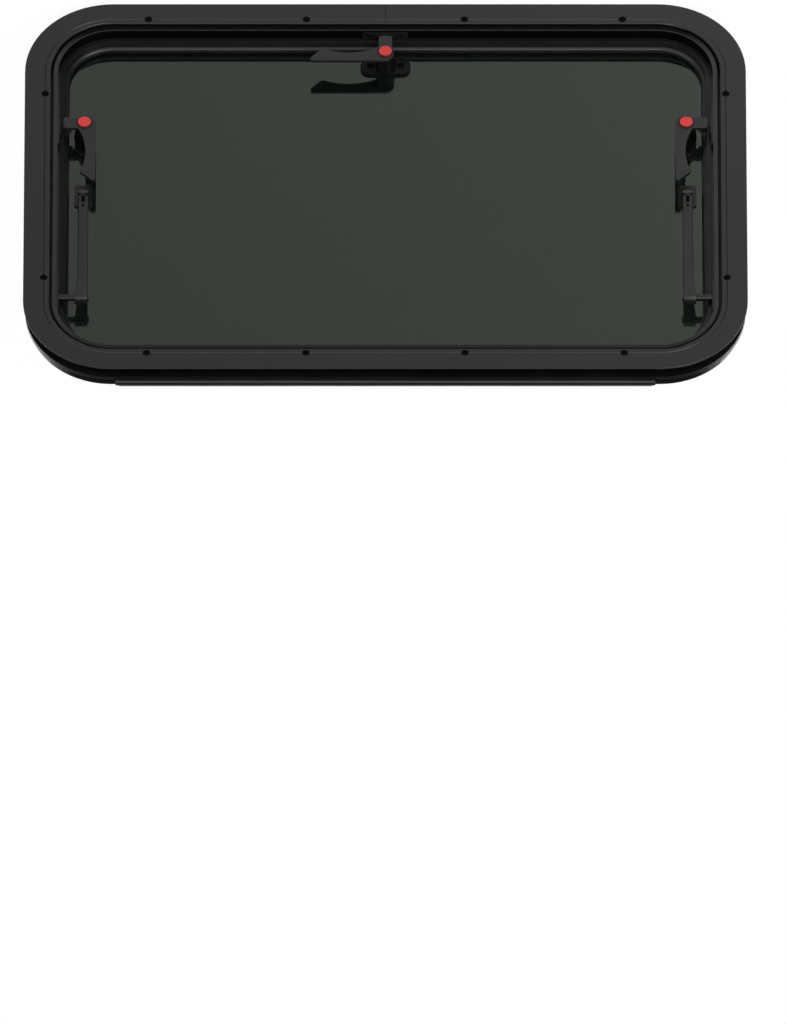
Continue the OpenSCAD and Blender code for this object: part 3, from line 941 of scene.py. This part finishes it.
workBase = makeBase()
workScrew = makeScrew()
smooth(workScrew, 30)
for place, matrix in latches.items():
    piece = copyTo(workBase, "latchBase." + place, metres @ matrix)
    smooth(piece, 30)
    finishPiece(piece, "sash", baseShadeBlack, "latch_plastic", "latch_base_" + place)
    for side in (-1, 1):
        spot = Matrix.Translation((0, side * base["screwAt"], base["thick"] - 0.75))
        spot = spot @ Matrix.Scale(1.25, 4)
        turned = spot @ Matrix.Rotation(math.radians(20 + 31 * side), 4, "Z")
        name = "latchScrew." + place + (".a" if side < 0 else ".b")
        piece = copyTo(workScrew, name, metres @ matrix @ turned)
        finishPiece(piece, "sash", screwBlack, "stay_black")
bpy.data.objects.remove(workBase)
print("latch bases ready")

# Screws of the catch plates and of the stay brackets
plates = {"catchThick": 1.8, "catchHalf": 17, "bracketThick": 2, "bracketHalf": 10, "size": 0.92}
plateScrews = []
catchX = window["sleeveX"] - plates["catchThick"]
catchZ = window["sleeveZ"] + plates["catchThick"]
for side in (-1, 1):
    inward = Matrix.Rotation(math.radians(90 * -side), 4, "Y")
    for along in (-plates["catchHalf"], plates["catchHalf"]):
        spot = Matrix.Translation((side * catchX, window["catchY"], latchZ + along))
        plateScrews.append(("catchScrew", "frame", spot @ inward, side, along))
for along in (-plates["catchHalf"], plates["catchHalf"]):
    spot = Matrix.Translation((along, window["catchY"], catchZ))
    plateScrews.append(("catchScrew", "frame", spot, 0, along))
toRoom = Matrix.Rotation(math.radians(90), 4, "X")
bracketY = paneY - plates["bracketThick"]
sashPinY, sashPinZ = window["sashPin"]
for side in (-1, 1):
    for along in (-plates["bracketHalf"], plates["bracketHalf"]):
        spot = Matrix.Translation((side * window["stayX"], bracketY, sashPinZ + along))
        plateScrews.append(("bracketScrew", "sash", spot @ toRoom, side, along))
for kind, body, spot, side, along in plateScrews:
    turned = spot @ Matrix.Rotation(math.radians(along * 3 + side * 17), 4, "Z")
    name = kind + "." + sideNames[side] + (".a" if along < 0 else ".b")
    piece = copyTo(workScrew, name, metres @ turned @ Matrix.Scale(plates["size"], 4))
    finishPiece(piece, body, screwSteel, "stay_black")

# Countersunk screws of the clamp ring, with a short shank in the port below
ringScrew = {
    "radius": 3.98,
    "depth": 1.2,
    "middle": -0.65,
    "under": 0.5,
    "shank": 11.0,
    "blade": (0.85, 4.0, 1.2),
    "longPitch": 161.0,
    "shortPitch": 244.0,
    "longRow": 221.2,
    "shortRow": 346.2,
}


def makeRingScrew():
    head = addCylinder(ringScrew["radius"], ringScrew["depth"], (0, 0, ringScrew["middle"]), 48)
    piece = named(head, "ringScrewWork")
    applyPlace(piece)
    low = ringScrew["middle"] - ringScrew["depth"] / 2
    pick(piece, "FACE", lambda c, n: n.z < -0.9)
    under = (ringScrew["under"], ringScrew["under"], 1)
    bpy.ops.transform.resize(value=under, center_override=(0, 0, low))
    bpy.ops.mesh.inset(thickness=0.45)
    down = (0, 0, -ringScrew["shank"])
    bpy.ops.mesh.extrude_region_move(TRANSFORM_OT_translate={"value": down})
    endEdit()
    pick(piece, "FACE", lambda c, n: n.z > 0.9)
    bpy.ops.mesh.inset(thickness=0.5, depth=0.0)
    bpy.ops.mesh.inset(thickness=0.5, depth=-0.25)
    endEdit()
    thin, long, high = ringScrew["blade"]
    for size in ((thin, long, high), (long, thin, high)):
        cutOut(piece, addBlock(size, (0, 0, -0.3)))
    return piece


ringScrewWork = makeRingScrew()
smooth(ringScrewWork, 30)
ringSpots = []
for side in (-1, 1):
    row = window["middleZ"] + side * ringScrew["longRow"]
    for step in (-1.5, -0.5, 0.5, 1.5):
        ringSpots.append((step * ringScrew["longPitch"], row))
for side in (-1, 1):
    for step in (-0.5, 0.5):
        across = window["middleZ"] + step * ringScrew["shortPitch"]
        ringSpots.append((side * ringScrew["shortRow"], across))
for number, (x, z) in enumerate(ringSpots):
    turned = Matrix.Rotation(math.radians(23 + 37 * number), 4, "Z")
    there = Matrix.Translation((x, window["ringFaceY"], z)) @ toRoom @ turned
    piece = copyTo(ringScrewWork, "ringScrew.%02d" % number, metres @ there)
    finishPiece(piece, "frame", screwBlack, "stay_black")
bpy.data.objects.remove(ringScrewWork)
bpy.data.objects.remove(workScrew)
print("screws ready")

# Pivot block of a stay: local X along its pin to the wall, Z up the stay
pinY, pinZ = window["wallPin"]
stay = {
    "tilt": math.atan2(sashPinY - pinY, pinZ - sashPinZ),
    "length": math.hypot(sashPinY - pinY, pinZ - sashPinZ),
    "block": (13.0, 13.0, 24.5),
    "blockAt": (1.5, 0, -5.75),
    "crown": 6.2,
    "waist": 2.4,
    "edge": 0.7,
}


def makeBlock():
    piece = named(addBlock(stay["block"], stay["blockAt"]), "stayBlockWork")
    bevelEdges(piece, lambda c, d: c.z > 6 and abs(d.x) > 0.9, stay["crown"], 10)
    # The bottom rim is doubled in place, which shapes how the last rounding ends there
    extrude(piece, lambda c, n: n.z < -0.9, (0, 0, 0))
    shift(piece, "VERT", lambda c: c.z < -17.9 and c.x > 5, (-stay["waist"], 0, 0))
    pick(piece, "FACE", lambda c, n: n.x > 0.9)
    bpy.ops.mesh.inset(thickness=1.6)
    endEdit()
    roundOff(piece, stay["edge"], 3, 30)
    return piece


def stayPlace(side):
    tilt = Matrix.Rotation(stay["tilt"], 4, "X")
    there = Matrix.Translation((window["stayX"], pinY, pinZ)) @ tilt
    return Matrix.Diagonal((side, 1, 1, 1)) @ there


workBlock = makeBlock()
for side in (-1, 1):
    name = sideNames[side]
    piece = copyTo(workBlock, "stayBlock." + name, metres @ stayPlace(side))
    smooth(piece, 30)
    finishPiece(piece, "tube_" + name, latchBlack, "latch_plastic", "stay_block_" + name)
bpy.data.objects.remove(workBlock)

# Thin near-black sheet painted as the shade in a slot, and a rivet, near the tube's open end
notch = {
    "size": (3.4, 0.25, 9.0),
    "y": -5.55,
    "end": 10.2 - stay["length"],
    "slotAt": 5.0,
    "round": 1.6,
    "rivetAt": 14.0,
    "rivetRadius": 1.5,
    "rivetDepth": 0.5,
    "rivetY": -5.6,
}


def makeNotch():
    slot = addBlock(notch["size"], (0, notch["y"], notch["end"] + notch["slotAt"]))
    piece = named(slot, "stayNotchShadeWork")
    high = notch["end"] + 1.8
    bevelEdges(piece, lambda c, d: abs(d.y) > 0.9 and c.z > high, notch["round"], 6)
    rivet = addCylinder(
        notch["rivetRadius"],
        notch["rivetDepth"],
        (0, notch["rivetY"], notch["end"] + notch["rivetAt"]),
        rotation=(math.radians(90), 0, 0),
    )
    named(rivet, "stayRivetWork")
    applyPlace(rivet)
    roundOff(rivet, 0.2, 2)
    joinTo(piece, rivet)
    return piece


workNotch = makeNotch()
# Near-black, unshining finish: painted shade of the slot, also given to the rivet
slotShadeBlack = coated(
    {
        "name": "slotShade",
        "dark": (0.002, 0.002, 0.002),
        "light": (0.004, 0.004, 0.004),
        "grain": 3000.0,
        "marks": 90.0,
        "dust": 0.0,
        "rough": (0.7, 0.85),
        "ior": 1.05,
        "bump": 0.1,
        "relief": 0.0001,
    }
)
for side in (-1, 1):
    name = sideNames[side]
    piece = copyTo(workNotch, "stayNotchShade." + name, metres @ stayPlace(side))
    finishPiece(piece, "tube_" + name, slotShadeBlack, "stay_black")
bpy.data.objects.remove(workNotch)
print("stays ready")

# Floor, light and camera. Each shine is two strengths and the places they lie at
floorLook = {
    "height": -0.0102,
    "size": 9,
    "matte": (0.95, 0.95, 0.95, 1),
    "matteShare": 0.12,
    "white": 1.045,
    "sideways": (1.22, 0.80, -0.6, 0.6),
    "near": (0.55, 0.79, -0.7, 0.0),
    "behind": (0.0, 1.4, 0.0, 0.6),
}


def lightPathMask(tree, kinds):
    path = tree.nodes.new("ShaderNodeLightPath")
    mask = path.outputs[kinds[0]]
    for kind in kinds[1:]:
        mask = maths(tree, "MAXIMUM", mask, path.outputs[kind])
    return mask


# Pale floor: even white for the camera with a faint share of its real shadow; for reflections and
# refractions it glows as painted light, brighter towards one side and behind the window, dimmer in
# front of it
def makeFloor():
    clearPick()
    bpy.ops.mesh.primitive_plane_add(size=floorLook["size"], location=(0, 0, floorLook["height"]))
    floor = named(bpy.context.object, "floor")
    material = bpy.data.materials.new("paleFloor")
    material.use_nodes = True
    tree = material.node_tree
    tree.nodes.clear()
    out = tree.nodes.new("ShaderNodeOutputMaterial")
    matte = tree.nodes.new("ShaderNodeBsdfDiffuse")
    matte.inputs["Color"].default_value = floorLook["matte"]
    seen = tree.nodes.new("ShaderNodeEmission")
    place = tree.nodes.new("ShaderNodeTexCoord").outputs["Object"]
    apart = tree.nodes.new("ShaderNodeSeparateXYZ")
    tree.links.new(place, apart.inputs["Vector"])
    sideways = ranged(tree, apart.outputs["X"], *floorLook["sideways"])
    near = ranged(tree, apart.outputs["Y"], *floorLook["near"])
    behind = ranged(tree, apart.outputs["Y"], *floorLook["behind"])
    depth = maths(tree, "ADD", near, behind)
    gloss = maths(tree, "MULTIPLY", sideways, depth)
    camera = tree.nodes.new("ShaderNodeLightPath").outputs["Is Camera Ray"]
    others = maths(tree, "SUBTRACT", 1.0, camera)
    white = maths(tree, "MULTIPLY", camera, floorLook["white"])
    strength = maths(tree, "ADD", maths(tree, "MULTIPLY", gloss, others), white)
    tree.links.new(strength, seen.inputs["Strength"])
    part = tree.nodes.new("ShaderNodeMixShader")
    part.inputs["Fac"].default_value = floorLook["matteShare"]
    tree.links.new(seen.outputs["Emission"], part.inputs[1])
    tree.links.new(matte.outputs["BSDF"], part.inputs[2])
    blend = tree.nodes.new("ShaderNodeMixShader")
    mask = lightPathMask(tree, ["Is Camera Ray", "Is Glossy Ray", "Is Transmission Ray"])
    tree.links.new(mask, blend.inputs["Fac"])
    tree.links.new(matte.outputs["BSDF"], blend.inputs[1])
    tree.links.new(part.outputs["Shader"], blend.inputs[2])
    tree.links.new(blend.outputs["Shader"], out.inputs["Surface"])
    floor.data.materials.append(material)


makeFloor()

# Sky for the gloss: bright at the horizon, dim above it, with a panel ahead and overhead
skyLook = {
    "upper": (0.9, 0.12, 0.0, 0.35),
    "ahead": (2.0, 0.0, -0.65, -0.35),
    "lifted": (0.0, 1.0, 0.40, 0.60),
    "diffuse": 0.62,
}
world = bpy.data.worlds.new("studio")
bpy.context.scene.world = world
world.use_nodes = True
tree = world.node_tree
tree.nodes.clear()
out = tree.nodes.new("ShaderNodeOutputWorld")
glow = tree.nodes.new("ShaderNodeBackground")
glow.inputs["Color"].default_value = (1, 1, 1, 1)
path = tree.nodes.new("ShaderNodeLightPath")
sky = tree.nodes.new("ShaderNodeTexCoord").outputs["Object"]
skyAxes = tree.nodes.new("ShaderNodeSeparateXYZ")
tree.links.new(sky, skyAxes.inputs["Vector"])
upper = ranged(tree, skyAxes.outputs["Z"], *skyLook["upper"])
ahead = ranged(tree, skyAxes.outputs["Y"], *skyLook["ahead"])
lifted = ranged(tree, skyAxes.outputs["Z"], *skyLook["lifted"])
upper = maths(tree, "ADD", upper, maths(tree, "MULTIPLY", ahead, lifted))
gloss = maths(tree, "MULTIPLY", upper, path.outputs["Is Glossy Ray"])
plain = maths(tree, "MAXIMUM", path.outputs["Is Camera Ray"], path.outputs["Is Transmission Ray"])
strength = maths(tree, "MAXIMUM", gloss, plain)
soft = maths(tree, "MULTIPLY", path.outputs["Is Diffuse Ray"], skyLook["diffuse"])
tree.links.new(maths(tree, "MAXIMUM", strength, soft), glow.inputs["Strength"])
tree.links.new(glow.outputs["Background"], out.inputs["Surface"])


def areaLight(name, place, aim, size, power):
    lamp = bpy.data.lights.new(name, "AREA")
    lamp.shape = "SQUARE"
    lamp.size = size
    lamp.energy = power
    holder = bpy.data.objects.new(name, lamp)
    bpy.context.scene.collection.objects.link(holder)
    holder.location = place
    holder.rotation_euler = (Vector(aim) - Vector(place)).to_track_quat("-Z", "Y").to_euler()


lampAim = (0, 0, 0.23)
areaLight("keyLight", (-1.3, -1.7, 1.5), lampAim, 1.4, 26)
areaLight("fillLight", (1.6, -1.2, 0.9), lampAim, 1.2, 8)

# Camera over the window's front, rolled by half a turn: metres, degrees and pixels
cameraLook = {
    "angle": 39.55,
    "distance": 34.0,
    "pixelsPerMetre": 985.0,
    "pictureHeight": 1024,
    "raisedPixels": 326.7,
    "aim": (-0.0077, -0.016, 0.232),
    "sensor": 36,
}
tilt = math.radians(cameraLook["angle"])
forward = Vector((0, math.cos(tilt), -math.sin(tilt)))
upward = Vector((0, math.sin(tilt), math.cos(tilt)))
camera = bpy.data.objects.new("camera", bpy.data.cameras.new("camera"))
bpy.context.scene.collection.objects.link(camera)
raised = cameraLook["raisedPixels"] / cameraLook["pixelsPerMetre"]
aim = Vector(cameraLook["aim"]) + upward * raised
camera.matrix_world = Matrix.Translation(aim - forward * cameraLook["distance"]) @ Matrix(
    (
        (-1, 0, 0),
        (0, -upward.y, -forward.y),
        (0, -upward.z, -forward.z),
    )
).to_4x4()
pictureTall = cameraLook["pictureHeight"] / cameraLook["pixelsPerMetre"]
camera.data.sensor_width = cameraLook["sensor"]
camera.data.lens = cameraLook["sensor"] * cameraLook["distance"] / pictureTall
camera.data.clip_start = 1
camera.data.clip_end = 100
bpy.context.scene.camera = camera
bpy.context.scene.view_settings.view_transform = "Standard"
print("camera ready")
